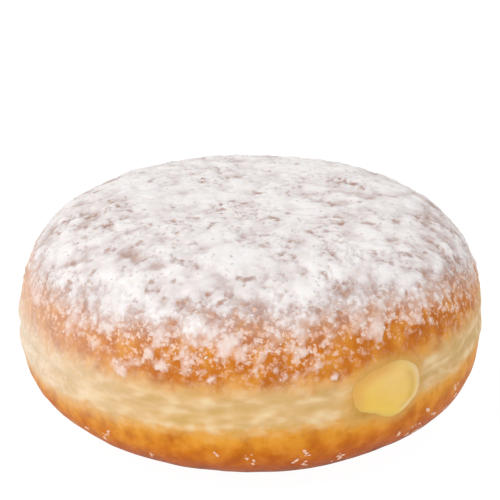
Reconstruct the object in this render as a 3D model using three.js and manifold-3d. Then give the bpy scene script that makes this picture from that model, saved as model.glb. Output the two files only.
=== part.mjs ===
// A custard-filled yeast doughnut under a coat of powdered sugar: one solid of dough, and one of custard that
// lies in its middle and shows at a mouth in its side. The sugar's heaps are relief on the dough.
// Millimetres, +Z up, front towards -Y, origin in the middle of the flat foot that it rests on.

import * as THREE from "three";
import { mergeVertices } from "three/addons/utils/BufferGeometryUtils.js";
import Module from "manifold-3d";

// Body. It is widest at its equator, and rounder below it than above.
const DIAMETER = 88.6;
const OVAL = 0.013; // share of its radius that the body is wider across the front than from front to back
const EQUATOR_HEIGHT = 19.1; // above the foot
const CROWN = { height: 22.1, wall: 4.9, dome: 2.32 }; // above the equator
const BELLY = { height: 19.9, wall: 3.3, dome: 2.92 }; // below the equator, as if it had no flat foot
const BODY_DETAIL = 20;
const CROWN_DENSITY = 1.2; // over 1, the facets are finer on the crown than below

// Pale line that stays above the oil while each half fries.
const BELT = { low: -2.6, high: 5.2, slope: 0.9 }; // heights from the equator; slope lifts it towards +X
const BELT_BULGE = 0.25;
const CREASE = { height: 1.0, wander: 1.2, size: 14, width: 1.2, depth: 0.5 };

// Relief of the dough.
const SWELLS = { size: 27, height: 0.3 };
const BLISTERS = { size: 6.2, height: 0.14 };

// Sugar coat. Its edge is measured down the skin from the top.
const COAT = { edge: 43, sway: 3.5, size: 15, fade: 15 };
const HEAPS = { size: 5.6, fineSize: 2.9, fineShare: 0.3, height: 0.7 };
const HEAP_BIAS = { bare: -0.6, full: 0.25 }; // how readily the coat heaps up past its edge, and on top
const HEAP_SLOPE = { foot: -0.15, crest: 0.35 };

// Caked crumbs of sugar along the edge of the coat.
const CRUMBS = { count: 36, first: 30, last: 51, small: 0.9, large: 2.5, flatness: 0.42, roughness: 0.4 };

// Custard: a flat pool in the middle, a neck that the filling nozzle left, and the mouth that it shows at.
const POOL = { halfLength: 20, halfWidth: 19, halfHeight: 6.4, roundness: 2.4, height: 20 };
const NECK = { halfWidth: 4.8, halfHeight: 4.0 };
const MOUTH = { azimuth: -56.8, height: 20.9, radius: 6.1, flareFrom: 33, flareTo: 43, rim: 0.3, bulge: 0.8 };
const MOUTH_LOBES = [
  { waves: 2, height: 1.32, turn: -9 },
  { waves: 3, height: 0.46, turn: 123 },
];
const LIP = { height: 0.25, width: 2.2 };
const GAP = 0.3;
const REACH = 6; // how far the hollow's cutter sticks out of the body
const CUSTARD_ROUND = 28;
const CUSTARD_RINGS = 18;
const CAP_RINGS = 4;

const RADIUS = DIAMETER / 2;
const QUARTER = Math.PI / 2;
const UP = new THREE.Vector3(0, 0, 1);
const { degToRad, smoothstep, lerp } = THREE.MathUtils;

const wasm = await Module();
wasm.setup();

const fract = (value) => value - Math.floor(value);
const hash = (i, j, k) => fract(Math.sin(i * 127.1 + j * 311.7 + k * 74.7) * 43758.5453);

// Smooth noise from -1 to 1, with a new value every `size` millimetres. Each seed gives another pattern.
function noise(point, size, seed) {
  const places = [point.x / size + seed, point.y / size - seed, point.z / size + 2 * seed];
  const cells = places.map(Math.floor);
  const [fx, fy, fz] = places.map((value, axis) => smoothstep(value - cells[axis], 0, 1));
  const at = (i, j, k) => hash(cells[0] + i, cells[1] + j, cells[2] + k);
  const alongX = (j, k) => lerp(at(0, j, k), at(1, j, k), fx);
  return 2 * lerp(lerp(alongX(0, 0), alongX(1, 0), fy), lerp(alongX(0, 1), alongX(1, 1), fy), fz) - 1;
}

// Half of the body's section, from its pole at t = 0 to the equator at t = 1: radius, and height from the equator.
class HalfSection extends THREE.Curve {
  constructor({ height, wall, dome }, side) {
    super();
    Object.assign(this, { height, wall, dome, side, arcLengthDivisions: 400 });
  }

  getPoint(t, target = new THREE.Vector2()) {
    const angle = (1 - t ** (this.wall / 2)) * QUARTER;
    const radius = RADIUS * Math.max(Math.cos(angle), 0) ** (2 / this.wall);
    return target.set(radius, this.side * this.height * Math.sin(angle) ** (2 / this.dome));
  }
}

const crown = new HalfSection(CROWN, 1);
const belly = new HalfSection(BELLY, -1);
const SKIN_LENGTH = crown.getLength() + belly.getLength();

// Where the smooth body's skin lies, this far down it from the top and at this azimuth.
function skinPoint(down, azimuth) {
  const onCrown = down <= crown.getLength();
  const share = onCrown ? down / crown.getLength() : (SKIN_LENGTH - down) / belly.getLength();
  const { x: radius, y: rise } = (onCrown ? crown : belly).getPointAt(Math.min(share, 1));
  const wide = radius * (1 + OVAL * Math.cos(2 * azimuth));
  const height = Math.max(rise + EQUATOR_HEIGHT, 0);
  return new THREE.Vector3(wide * Math.cos(azimuth), wide * Math.sin(azimuth), height);
}

function beltRelief(point) {
  const height = point.z - EQUATOR_HEIGHT - (BELT.slope * point.x) / RADIUS;
  const aboveLow = smoothstep(height, BELT.low - 1, BELT.low + 1);
  const belowHigh = 1 - smoothstep(height, BELT.high - 1, BELT.high + 1);
  const crease = CREASE.height + CREASE.wander * noise(point, CREASE.size, 3);
  const inCrease = Math.exp(-(((height - crease) / CREASE.width) ** 2));
  return aboveLow * belowHigh * (BELT_BULGE - CREASE.depth * inCrease);
}

// Height of the sugar's heaps.
function sugarRelief(point, down) {
  const edge = COAT.edge + COAT.sway * noise(point, COAT.size, 7);
  const coat = 1 - smoothstep(down, edge - COAT.fade / 2, edge + COAT.fade / 2);
  const coarse = noise(point, HEAPS.size, 11);
  const mixed = lerp(coarse, noise(point, HEAPS.fineSize, 13), HEAPS.fineShare);
  const heap = mixed + lerp(HEAP_BIAS.bare, HEAP_BIAS.full, coat);
  return HEAPS.height * smoothstep(heap, HEAP_SLOPE.foot, HEAP_SLOPE.crest);
}

const mouthRadius = (angle) =>
  MOUTH_LOBES.reduce(
    (radius, lobe) => radius + lobe.height * Math.cos(lobe.waves * angle - degToRad(lobe.turn)),
    MOUTH.radius,
  );

// Low swelling of the dough round the mouth.
function lipRelief(point) {
  const turn = Math.atan2(point.y, point.x) - degToRad(MOUTH.azimuth);
  const across = RADIUS * Math.atan2(Math.sin(turn), Math.cos(turn));
  const place = new THREE.Vector2(across, point.z - MOUTH.height);
  const beyond = place.length() - mouthRadius(place.angle());
  return LIP.height * Math.exp(-((beyond / LIP.width) ** 2));
}

function relief(point, down) {
  const offFoot = smoothstep(point.z, 0.05, 2.5);
  const swells = SWELLS.height * noise(point, SWELLS.size, 1);
  const blisters = BLISTERS.height * noise(point, BLISTERS.size, 5);
  return offFoot * (swells + blisters + beltRelief(point) + lipRelief(point) + sugarRelief(point, down));
}

function positionsOnly(geometry) {
  geometry.deleteAttribute("normal");
  geometry.deleteAttribute("uv");
  return mergeVertices(geometry, 1e-4);
}

function toSolid(geometry) {
  const merged = positionsOnly(geometry);
  return new wasm.Manifold(
    new wasm.Mesh({
      numProp: 3,
      vertProperties: merged.attributes.position.array,
      triVerts: new Uint32Array(merged.index.array),
    }),
  );
}

function toGeometry(solid) {
  const { vertProperties, triVerts } = solid.getMesh();
  const geometry = new THREE.BufferGeometry();
  geometry.setAttribute("position", new THREE.BufferAttribute(vertProperties, 3));
  geometry.setIndex(new THREE.BufferAttribute(triVerts, 1));
  geometry.computeVertexNormals();
  return geometry;
}

// Moves each vertex to where `place` puts it.
function reshape(geometry, place) {
  const positions = geometry.attributes.position;
  const vertex = new THREE.Vector3();
  for (let i = 0; i < positions.count; i += 1) {
    const moved = place(vertex.fromBufferAttribute(positions, i), i);
    positions.setXYZ(i, moved.x, moved.y, moved.z);
  }
  return geometry;
}

function doughBody() {
  const ball = positionsOnly(new THREE.IcosahedronGeometry(1, BODY_DETAIL));
  const downs = [];
  reshape(ball, (direction, i) => {
    downs[i] = SKIN_LENGTH * (direction.angleTo(UP) / Math.PI) ** CROWN_DENSITY;
    return skinPoint(downs[i], Math.atan2(direction.y, direction.x));
  });
  ball.computeVertexNormals();
  const normals = ball.attributes.normal.clone();
  const normal = new THREE.Vector3();
  return reshape(ball, (point, i) => {
    normal.fromBufferAttribute(normals, i);
    return point.clone().addScaledVector(normal, relief(point, downs[i]));
  });
}

// An uneven crumb, flattened against the skin and sunk to its middle in it.
function sugarCrumb(index) {
  const draw = (column) => hash(index, column, 0);
  const down = lerp(CRUMBS.first, CRUMBS.last, draw(1));
  const azimuth = 2 * Math.PI * ((index + 1.5 * draw(2)) / CRUMBS.count);
  const base = skinPoint(down, azimuth);
  const below = skinPoint(down + 0.5, azimuth);
  const sideways = new THREE.Vector3(-Math.sin(azimuth), Math.cos(azimuth), 0);
  const outward = below.sub(base).cross(sideways).normalize();
  const radius = lerp(CRUMBS.small, CRUMBS.large, draw(3) ** 2);
  const lumpy = reshape(positionsOnly(new THREE.IcosahedronGeometry(radius, 0)), (vertex, corner) =>
    vertex.multiplyScalar(1 + CRUMBS.roughness * (hash(index, corner, 9) - 0.5)),
  );
  const middle = base.addScaledVector(outward, relief(base, down));
  return lumpy
    .rotateZ(draw(4) * Math.PI)
    .scale(lerp(0.8, 1.3, draw(5)), 1, CRUMBS.flatness)
    .applyQuaternion(new THREE.Quaternion().setFromUnitVectors(UP, outward))
    .translate(middle.x, middle.y, middle.z);
}

// Half size of the custard at an angle from its axis (0 is across, a quarter turn is up), this far along it.
function custardRadius(along, angle, gap) {
  const ellipse = (across, up) => 1 / Math.hypot(Math.cos(angle) / across, Math.sin(angle) / up);
  const end = Math.min(Math.abs(along) / (POOL.halfLength + gap), 1);
  const pool = (1 - end ** POOL.roundness) ** (1 / POOL.roundness);
  const inPool = pool * ellipse(POOL.halfWidth + gap, POOL.halfHeight + gap);
  const flare = smoothstep(along, MOUTH.flareFrom, MOUTH.flareTo);
  const neck = lerp(ellipse(NECK.halfWidth, NECK.halfHeight), mouthRadius(angle), flare) + gap;
  const inNeck = neck * smoothstep(along, -POOL.halfLength, 0);
  return Math.hypot(inPool, inNeck);
}

// The custard. With a gap and a reach it is the hollow for it, which runs that far past the body's side.
function custard(gap = 0, reach = 0) {
  const azimuth = degToRad(MOUTH.azimuth);
  const outward = new THREE.Vector3(Math.cos(azimuth), Math.sin(azimuth), 0);
  const sideways = new THREE.Vector3(-Math.sin(azimuth), Math.cos(azimuth), 0);
  const bodyRadius = RADIUS * (1 + OVAL * Math.cos(2 * azimuth));
  const inner = -(POOL.halfLength + gap);
  const outer = bodyRadius - MOUTH.rim + reach;
  const profile = [new THREE.Vector2(0, inner)];
  for (let i = 1; i <= CUSTARD_RINGS; i += 1) {
    const bend = Math.sin((i / CUSTARD_RINGS) * QUARTER) ** 2;
    profile.push(new THREE.Vector2(1, lerp(inner, outer, lerp(i / CUSTARD_RINGS, bend, 0.3))));
  }
  for (let i = 1; i <= CAP_RINGS; i += 1) {
    profile.push(new THREE.Vector2(1 - i / CAP_RINGS, outer));
  }
  return reshape(new THREE.LatheGeometry(profile, CUSTARD_ROUND), ({ x, y, z }) => {
    const share = Math.hypot(x, z);
    const angle = Math.atan2(x, z);
    const radius = share * custardRadius(y, angle, gap);
    const across = radius * Math.cos(angle);
    // Towards the mouth the sections bend to the round of the body's side, and the last one domes out of it.
    const bend = (bodyRadius - Math.sqrt(bodyRadius ** 2 - across ** 2)) * smoothstep(y, MOUTH.flareFrom, outer);
    const dome = y > outer - 1e-3 ? MOUTH.bulge * (1 - share ** 2) : 0;
    const level = lerp(POOL.height, MOUTH.height, smoothstep(y, POOL.halfLength, MOUTH.flareFrom));
    return outward
      .clone()
      .multiplyScalar(y - bend + dome)
      .addScaledVector(sideways, across)
      .setZ(level + radius * Math.sin(angle));
  });
}

const doughMaterial = new THREE.MeshStandardMaterial({ name: "fried_dough", color: 0xd08a45, roughness: 0.75 });
const custardMaterial = new THREE.MeshStandardMaterial({ name: "custard", color: 0xecc662, roughness: 0.35 });

const crumbs = Array.from({ length: CRUMBS.count }, (_, index) => toSolid(sugarCrumb(index)));
const sugaredDough = crumbs.reduce((whole, crumb) => whole.add(crumb), toSolid(doughBody()));
const dough = new THREE.Mesh(toGeometry(sugaredDough.subtract(toSolid(custard(GAP, REACH)))), doughMaterial);
dough.name = "dough";

const filling = new THREE.Mesh(toGeometry(toSolid(custard())), custardMaterial);
filling.name = "filling";

const doughnut = new THREE.Group();
doughnut.name = "filled_doughnut";
doughnut.add(dough, filling);

// The relief leaves the outline a little off the body's axis, so it is centred on the origin here.
const middle = new THREE.Box3().setFromObject(doughnut, true).getCenter(new THREE.Vector3());
doughnut.position.set(-middle.x, -middle.y, 0);

export default doughnut;
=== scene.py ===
"""A custard-filled yeast doughnut under powdered sugar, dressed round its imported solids.

Sizes are in millimetres unless a comment says otherwise, in the doughnut's own frame: +Z up, front towards
-Y, the origin in the middle of the foot. Meshes are written in metres.
"""

import logging
import math
from dataclasses import dataclass, field
from enum import Enum, IntEnum
from typing import Any

import bpy
import numpy as np
import numpy.typing as npt
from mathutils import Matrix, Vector


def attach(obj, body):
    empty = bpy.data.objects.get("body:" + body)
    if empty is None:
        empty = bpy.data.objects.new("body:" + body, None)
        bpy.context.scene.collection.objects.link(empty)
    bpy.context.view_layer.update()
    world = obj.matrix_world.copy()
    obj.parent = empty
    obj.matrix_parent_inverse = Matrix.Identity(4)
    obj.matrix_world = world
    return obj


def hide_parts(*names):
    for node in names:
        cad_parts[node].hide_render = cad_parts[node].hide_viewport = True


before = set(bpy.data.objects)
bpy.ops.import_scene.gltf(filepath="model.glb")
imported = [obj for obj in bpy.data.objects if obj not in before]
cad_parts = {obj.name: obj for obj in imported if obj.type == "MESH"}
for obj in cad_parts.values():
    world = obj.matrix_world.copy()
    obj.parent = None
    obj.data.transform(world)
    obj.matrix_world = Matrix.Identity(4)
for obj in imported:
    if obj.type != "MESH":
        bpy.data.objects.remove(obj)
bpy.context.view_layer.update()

Array = npt.NDArray[np.float64]
# Two numbers, most often where something starts and where it is full.
Pair = tuple[float, float]
Piece = bpy.types.Object
Material = bpy.types.Material
Tree = bpy.types.NodeTree
Socket = bpy.types.NodeSocket
# What feeds a node's input: an output, or a node whose first output does.
Source = bpy.types.NodeSocket | bpy.types.Node

METRES = 0.001
BODY = "root"
LOG = logging.getLogger("doughnut")


# --------------------------------------------------------------------------------------------------
# Small sums


def smoothstep(values: Array, low: float | Array, high: float | Array) -> Array:
    """Eases from 0 at low to 1 at high."""
    share = np.clip((values - low) / (high - low), 0.0, 1.0)
    return share * share * (3.0 - 2.0 * share)


def lerp(low: float | Array, high: float | Array, share: float | Array) -> Array:
    """Goes from low to high as share goes from 0 to 1."""
    return low + (high - low) * share


# Weights and gain of the sine whose last digits serve as random numbers.
HASH_WEIGHTS = (127.1, 311.7, 74.7)
HASH_GAIN = 43758.5453


def hashed(i: Array, j: Array | float, k: Array | float) -> Array:
    """Gives a steady random value from 0 to 1 for each triple of numbers."""
    value = np.sin(i * HASH_WEIGHTS[0] + j * HASH_WEIGHTS[1] + k * HASH_WEIGHTS[2]) * HASH_GAIN
    return value - np.floor(value)


class Pattern(IntEnum):
    """Seeds of the noise patterns."""

    SWELLS = 1
    CREASE = 3
    BLISTERS = 5
    COAT_THINS = 7
    COAT_ENDS = 9
    PORES = 19
    RIPPLES = 23
    CREASE_STRENGTH = 29
    LUMPS = 31
    PIT_CLUSTERS = 47
    WRINKLES = 53
    TORN_EDGE = 59


class Draw(IntEnum):
    """What is drawn by chance for each loose lump of sugar."""

    DOWN = 1
    ROUND = 2
    KEPT = 3
    SIZE = 4
    SPIN = 5
    STRETCH = 6
    DRY = 8
    OFF_DOWN = 9
    OFF_ROUND = 10


def noise(points: Array, size: float, seed: int) -> Array:
    """Smooth noise from -1 to 1.

    Args:
        points: where to read it, one row a point.
        size: how far apart new values lie.
        seed: which pattern.

    Returns:
        One value a point.
    """
    places = points / size + np.array([seed, -seed, 2.0 * seed])
    cells = np.floor(places)
    ease = smoothstep(places - cells, 0.0, 1.0)
    i, j, k = cells.T
    fx, fy, fz = ease.T
    rows = [
        lerp(hashed(i, j + dj, k + dk), hashed(i + 1, j + dj, k + dk), fx)
        for dk in (0, 1)
        for dj in (0, 1)
    ]
    return 2.0 * lerp(lerp(rows[0], rows[1], fy), lerp(rows[2], rows[3], fy), fz) - 1.0


# A turn that brings no axis near another.
TURNED = np.array([[0.36, 0.48, -0.8], [-0.8, 0.6, 0.0], [0.48, 0.64, 0.6]])


def turned_noise(points: Array, size: float, seed: int) -> Array:
    """Gives such noise with its grid turned, so that fine patterns don't line up with the axes."""
    return noise(points @ TURNED.T, size, seed)


def unit(vectors: Array) -> Array:
    """Scales each row to length 1."""
    return vectors / np.maximum(np.linalg.norm(vectors, axis=1, keepdims=True), 1e-12)


def turn_between(azimuth: Array, start: float) -> Array:
    """Signed angle from start to each azimuth, from minus to plus half a turn."""
    return np.arctan2(np.sin(azimuth - start), np.cos(azimuth - start))


# --------------------------------------------------------------------------------------------------
# Form of the doughnut


@dataclass(frozen=True)
class HalfSection:
    """Half of the body's side section, from its pole to the equator."""

    # Height from the equator, how square the section is at its wall and over its dome, and 1 up or -1 down.
    height: float
    wall: float
    dome: float
    side: int

    def outline(self, radius: float, steps: int = 4000) -> tuple[Array, Array, Array]:
        """Traces the half section.

        Args:
            radius: the body's radius at the equator.
            steps: how finely to trace it.

        Returns:
            How far each point lies along the skin from the pole, its radius, and its height from the equator.
        """
        t = np.linspace(0.0, 1.0, steps + 1)
        angle = (1.0 - t ** (self.wall / 2.0)) * math.pi / 2.0
        out = radius * np.maximum(np.cos(angle), 0.0) ** (2.0 / self.wall)
        rise = self.side * self.height * np.maximum(np.sin(angle), 0.0) ** (2.0 / self.dome)
        along = np.concatenate([[0.0], np.cumsum(np.hypot(np.diff(out), np.diff(rise)))])
        return along, out, rise


@dataclass
class Skin:
    """The smooth outer skin: a flat-footed body of revolution, a little wider across the front."""

    # Mean diameter, the share by which it is wider across the front, and the height of its widest level.
    diameter: float = 88.6
    oval: float = 0.013
    equator_height: float = 19.1
    crown: HalfSection = HalfSection(22.1, 4.9, 2.32, 1)
    belly: HalfSection = HalfSection(19.9, 3.3, 2.92, -1)

    def __post_init__(self) -> None:
        """Lays the two half sections end to end, from the top down to the foot."""
        crown_along, crown_out, crown_rise = self.crown.outline(self.radius)
        belly_along, belly_out, belly_rise = self.belly.outline(self.radius)
        self.to_equator = float(crown_along[-1])
        self.length = self.to_equator + float(belly_along[-1])
        self.down = np.concatenate([crown_along, self.length - belly_along[::-1][1:]])
        self.out = np.concatenate([crown_out, belly_out[::-1][1:]])
        self.rise = np.concatenate([crown_rise, belly_rise[::-1][1:]])

    @property
    def radius(self) -> float:
        """Mean radius at the equator."""
        return self.diameter / 2.0

    def points(self, down: Array, azimuth: Array) -> Array:
        """Places points on the skin.

        Args:
            down: how far down the skin from the top each one lies.
            azimuth: its angle round the body from +X, in radians.

        Returns:
            One row a point.
        """
        out = np.interp(down, self.down, self.out) * (1.0 + self.oval * np.cos(2.0 * azimuth))
        height = np.maximum(np.interp(down, self.down, self.rise) + self.equator_height, 0.0)
        return np.stack([out * np.cos(azimuth), out * np.sin(azimuth), height], axis=1)

    def normals(self, down: Array, azimuth: Array) -> Array:
        """Gives the outward direction of the skin.

        Args:
            down: how far down the skin from the top each place lies.
            azimuth: its angle round the body from +X, in radians.

        Returns:
            One row of length 1 a place.
        """
        step = 0.25
        along = self.points(down + step, azimuth) - self.points(np.maximum(down - step, 0.0), azimuth)
        sideways = np.stack([-np.sin(azimuth), np.cos(azimuth), np.zeros_like(azimuth)], axis=1)
        return unit(np.cross(along, sideways))

    def down_at(self, height: Array) -> Array:
        """Finds how far down the skin these heights over the foot lie."""
        return np.interp(self.equator_height - height, -self.rise, self.down)


@dataclass(frozen=True)
class Belt:
    """The pale line round the side that stays above the oil while each half fries."""

    # Heights of its edges over the equator, how soft they are, and how much higher it lies at the far right.
    low: float = -2.6
    high: float = 5.2
    edge: float = 1.0
    slope: float = 0.9
    # How much higher still its lower edge is there.
    pinch: float = 1.4
    # How far it stands out, and the crease that wanders along it.
    bulge: float = 0.25
    crease_height: float = 1.0
    crease_wander: float = 1.2
    crease_size: float = 14.0
    crease_width: float = 1.2
    crease_depth: float = 0.5

    def height(self, points: Array, skin: Skin) -> Array:
        """Measures heights from the equator, less the lean of the belt, so that it lies from low to high.

        Args:
            points: places on the smooth skin, one row a point.
            skin: that skin.

        Returns:
            One height a point.
        """
        right = points[:, 0] / skin.radius
        middle = (self.low + self.high) / 2.0
        height = points[:, 2] - skin.equator_height - self.slope * right
        under = np.clip((middle - height) / (middle - self.low), 0.0, 1.0)
        return height - self.pinch * np.maximum(right, 0.0) * under

    def crease(self, points: Array, skin: Skin) -> Array:
        """How deep in the crease that wanders along the belt each point lies, from 0 to 1."""
        middle = self.crease_height + self.crease_wander * noise(points, self.crease_size, Pattern.CREASE)
        return np.exp(-(((self.height(points, skin) - middle) / self.crease_width) ** 2))

    def inside(self, points: Array, skin: Skin) -> Array:
        """Marks the belt.

        Args:
            points: places on the smooth skin, one row a point.
            skin: that skin.

        Returns:
            1 within the belt and 0 off it, with soft edges.
        """
        height = self.height(points, skin)
        over_low = smoothstep(height, self.low - self.edge, self.low + self.edge)
        return over_low * smoothstep(height, self.high + self.edge, self.high - self.edge)

    def relief(self, points: Array, skin: Skin, creased: Array) -> Array:
        """How far the belt stands out of the skin; creased is 0 where it has no crease."""
        out = self.bulge - self.crease_depth * creased * self.crease(points, skin)
        return self.inside(points, skin) * out


@dataclass(frozen=True)
class Heap:
    """One heap of sugar, or with a boost under 0 a thin patch."""

    # Angle round the body in degrees, distance down the skin, radius, and how much deeper the sugar is.
    azimuth: float
    down: float
    radius: float
    boost: float


@dataclass(frozen=True)
class Clumps:
    """Clumps of one size with uneven outlines, crowded like pebbles."""

    # How far apart they lie, and which pattern they follow.
    size: float
    seed: int
    # How far their outlines wander, and over what length, as shares of their size.
    wander: float = 0.34
    wander_size: float = 0.5
    # Radius of the smallest and the largest, and height of the lowest dome, as shares.
    small: float = 0.42
    large: float = 0.8
    lowest: float = 0.6
    # The share of a dome's height from which it counts as full.
    full: float = 0.75

    def domes(self, points: Array) -> Array:
        """Finds the tallest clump over each point.

        Args:
            points: places, one row a point.

        Returns:
            Its height, from 0 between clumps to 1 on the middle of one.
        """
        turned = points @ TURNED.T
        bends = [noise(turned, self.wander_size * self.size, self.seed + number) for number in (1, 2, 3)]
        places = turned / self.size + self.seed + self.wander * np.stack(bends, axis=1)
        cells = np.floor(places)
        tallest = np.zeros(len(points))
        for step in np.ndindex(3, 3, 3):
            i, j, k = (cells + np.array(step) - 1.0).T
            middle = np.stack([hashed(i, j, k + 0.5), hashed(i + 0.5, j, k), hashed(i, j + 0.5, k)], axis=1)
            away = places - np.stack([i, j, k], axis=1) - middle
            radius = lerp(self.small, self.large, hashed(i, j, k))
            height = lerp(self.lowest, 1.0, hashed(k, i, j))
            tallest = np.maximum(tallest, height * (1.0 - (away**2).sum(axis=1) / radius**2))
        return smoothstep(tallest, 0.0, self.full)


@dataclass(frozen=True)
class SugarCoat:
    """The sifted sugar: full on top, and broken into clumps and dots down to its edge."""

    # At each angle round the body in degrees, how far down the skin the coat starts to thin and where it
    # ends, and how far and over what length both of these sway.
    edges: tuple[tuple[float, float, float], ...] = (
        (-180.0, 39.0, 50.0),
        (-155.0, 40.6, 48.2),
        (-130.0, 39.5, 48.9),
        (-105.0, 33.3, 50.0),
        (-85.0, 32.6, 49.8),
        (-65.0, 33.2, 48.6),
        (-45.0, 34.3, 47.2),
        (-30.0, 36.5, 48.6),
        (-18.0, 40.5, 51.2),
        (0.0, 41.0, 51.5),
        (90.0, 37.0, 50.0),
    )
    sway: float = 1.2
    sway_size: float = 13.0
    # How deep it lies on top, where 0 is bare crust and 1 hides the crust, how much less stays on the
    # steeper shoulder, where that begins and is full, and how fast the coat ends past its edge.
    top: float = 1.24
    slide: float = 0.26
    shoulder: Pair = (25.0, 36.0)
    end: float = 2.6
    # Layers of drift: size, share and pattern.
    drifts: tuple[tuple[float, float, int], ...] = ((5.6, 0.24, 11), (2.7, 0.36, 13), (1.0, 0.1, 17))
    # Clumps, with their share along the edge and on top, and the height that leaves the depth as it is.
    clumps: tuple[tuple[Clumps, float, float], ...] = (
        (Clumps(4.4, 61), 0.1, 0.4),
        (Clumps(2.4, 31), 0.5, 0.26),
        (Clumps(1.3, 37), 0.34, 0.1),
    )
    clump_mean: float = 0.5
    # Pits on top, which lie in clusters, and the noise from which and at which these are full of pits. In the
    # pits the grey crust shows through, which partly paints their shade.
    pits: Clumps = Clumps(0.95, 43)
    pit_cluster_size: float = 4.0
    pit_clusters: Pair = (-0.2, 0.6)
    pit_depth: float = 0.6
    # Thickness of a coat that just hides the crust, the most as a share of it, and how far the coat dips
    # under bare crust.
    height: float = 0.5
    thickest: float = 1.6
    tuck: float = 0.12
    # How fast the dust between the clumps grows from the coat's edge, and how far in it starts.
    dust_gain: float = 1.9
    dust_start: float = 0.45
    # The same for half-melted specks, which start past the edge, and where they are full again and gone.
    speck_gain: float = 2.0
    speck_lead: float = 0.5
    speck_fade: Pair = (1.05, 0.65)
    heaps: tuple[Heap, ...] = (
        # Clots along the edge.
        Heap(-93.3, 43.6, 2.6, 0.3),
        Heap(-97.0, 46.0, 1.9, 0.4),
        Heap(-105.0, 47.5, 1.4, 0.9),
        Heap(-111.4, 49.2, 1.2, 0.55),
        Heap(-98.5, 50.5, 1.3, 0.6),
        Heap(-79.0, 45.7, 1.5, 0.4),
        Heap(-70.1, 51.2, 0.9, 0.9),
        Heap(-74.0, 51.0, 1.3, 0.5),
        Heap(-124.0, 50.6, 1.7, 0.6),
        Heap(-125.0, 42.8, 2.6, 0.55),
        Heap(-121.0, 52.0, 1.6, 1.5),
        Heap(-117.5, 49.0, 1.2, 0.8),
        Heap(-130.0, 48.0, 1.3, 0.7),
        Heap(-139.5, 45.5, 1.6, 0.6),
        Heap(-103.0, 42.0, 1.4, 0.4),
        Heap(-106.0, 42.6, 2.4, 0.4),
        Heap(-56.0, 43.0, 1.3, 0.5),
        Heap(-73.0, 40.5, 1.3, 0.5),
        Heap(-15.0, 40.8, 2.6, 0.3),
        # Heaps higher up.
        Heap(-75.0, 36.8, 3.2, 0.4),
        Heap(-45.0, 38.8, 2.6, 0.35),
        Heap(-55.0, 34.8, 3.0, 0.2),
        Heap(-34.0, 31.5, 4.5, 0.45),
        Heap(-25.0, 6.0, 5.0, 0.3),
        Heap(-110.0, 6.0, 3.5, 0.25),
        Heap(-145.0, 15.0, 4.5, 0.25),
        # Thin patches, where the crust shows.
        Heap(-94.0, 39.8, 3.6, -0.7),
        Heap(-65.0, 42.0, 3.6, -0.7),
        Heap(-73.0, 44.3, 3.2, -0.3),
        Heap(-119.5, 47.3, 2.0, -0.9),
        Heap(-147.0, 48.5, 2.2, -0.6),
        Heap(-93.5, 48.5, 1.6, -0.6),
        Heap(-51.5, 47.0, 1.6, -0.6),
        Heap(-62.0, 45.5, 1.4, -0.6),
        Heap(-135.0, 42.4, 3.2, -0.35),
        Heap(-152.0, 24.0, 8.0, -0.22),
        Heap(-133.0, 31.5, 3.6, -0.2),
        Heap(-145.0, 5.0, 5.0, -0.25),
    )

    def cover(self, points: Array, down: Array) -> Array:
        """Says how fully the coat covers each point.

        Args:
            points: places on the smooth skin, one row a point.
            down: how far down the skin each one lies.

        Returns:
            1 on top, 0 at the coat's edge, and less than 0 past it.
        """
        azimuth = np.arctan2(points[:, 1], points[:, 0])
        angles, thins, ends = np.array(self.edges).T
        full = np.interp(np.degrees(azimuth), angles, thins, period=360.0)
        bare = np.interp(np.degrees(azimuth), angles, ends, period=360.0)
        full = full + self.sway * noise(points, self.sway_size, Pattern.COAT_THINS)
        bare = bare + self.sway * noise(points, self.sway_size, Pattern.COAT_ENDS)
        return np.minimum((bare - down) / (bare - full), 1.0)

    def depth(self, points: Array, down: Array) -> Array:
        """Says how deep the sugar lies at each point.

        Args:
            points: places on the smooth skin, one row a point.
            down: how far down the skin each one lies.

        Returns:
            Under 0 where there is none, and 1 where it just hides the crust.
        """
        cover = self.cover(points, down)
        on_top = np.clip(cover, 0.0, 1.0)
        depth = np.where(cover > 0.0, self.top, self.end) * cover
        depth = depth - self.slide * on_top * smoothstep(down, *self.shoulder)
        for size, share, seed in self.drifts:
            depth = depth + share * turned_noise(points, size, seed)
        for clumps, at_edge, above in self.clumps:
            depth = depth + lerp(at_edge, above, on_top) * (clumps.domes(points) - self.clump_mean)
        clusters = turned_noise(points, self.pit_cluster_size, Pattern.PIT_CLUSTERS)
        clustered = smoothstep(clusters, *self.pit_clusters)
        depth = depth - self.pit_depth * on_top * clustered * self.pits.domes(points) ** 2
        azimuth = np.arctan2(points[:, 1], points[:, 0])
        for heap in self.heaps:
            turn = turn_between(azimuth, math.radians(heap.azimuth))
            across = np.hypot(points[:, 0], points[:, 1]) * turn
            away = ((down - heap.down) ** 2 + across**2) / heap.radius**2
            depth = depth + heap.boost * np.exp(-away)
        return depth

    def dust(self, points: Array, down: Array) -> Array:
        """How far a layer of powder greys the crust between the clumps, a grey that partly paints the shade
        there.
        """
        return np.clip(self.dust_gain * self.cover(points, down) - self.dust_start, 0.0, 1.0)

    def flecks(self, points: Array, down: Array) -> Array:
        """Says how thickly specks of half-melted sugar lie between the clumps: most along the coat's edge.

        Args:
            points: places on the smooth skin, one row a point.
            down: how far down the skin each one lies.

        Returns:
            One share a point.
        """
        cover = self.cover(points, down)
        growth = np.clip(self.speck_gain * cover + self.speck_lead, 0.0, 1.0)
        return growth * smoothstep(cover, *self.speck_fade)

    def relief(self, depth: Array) -> Array:
        """Thickness of the sugar; where there is none, the coat dips under the crust."""
        return np.clip(self.height * depth, -self.tuck, self.thickest * self.height)


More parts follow.
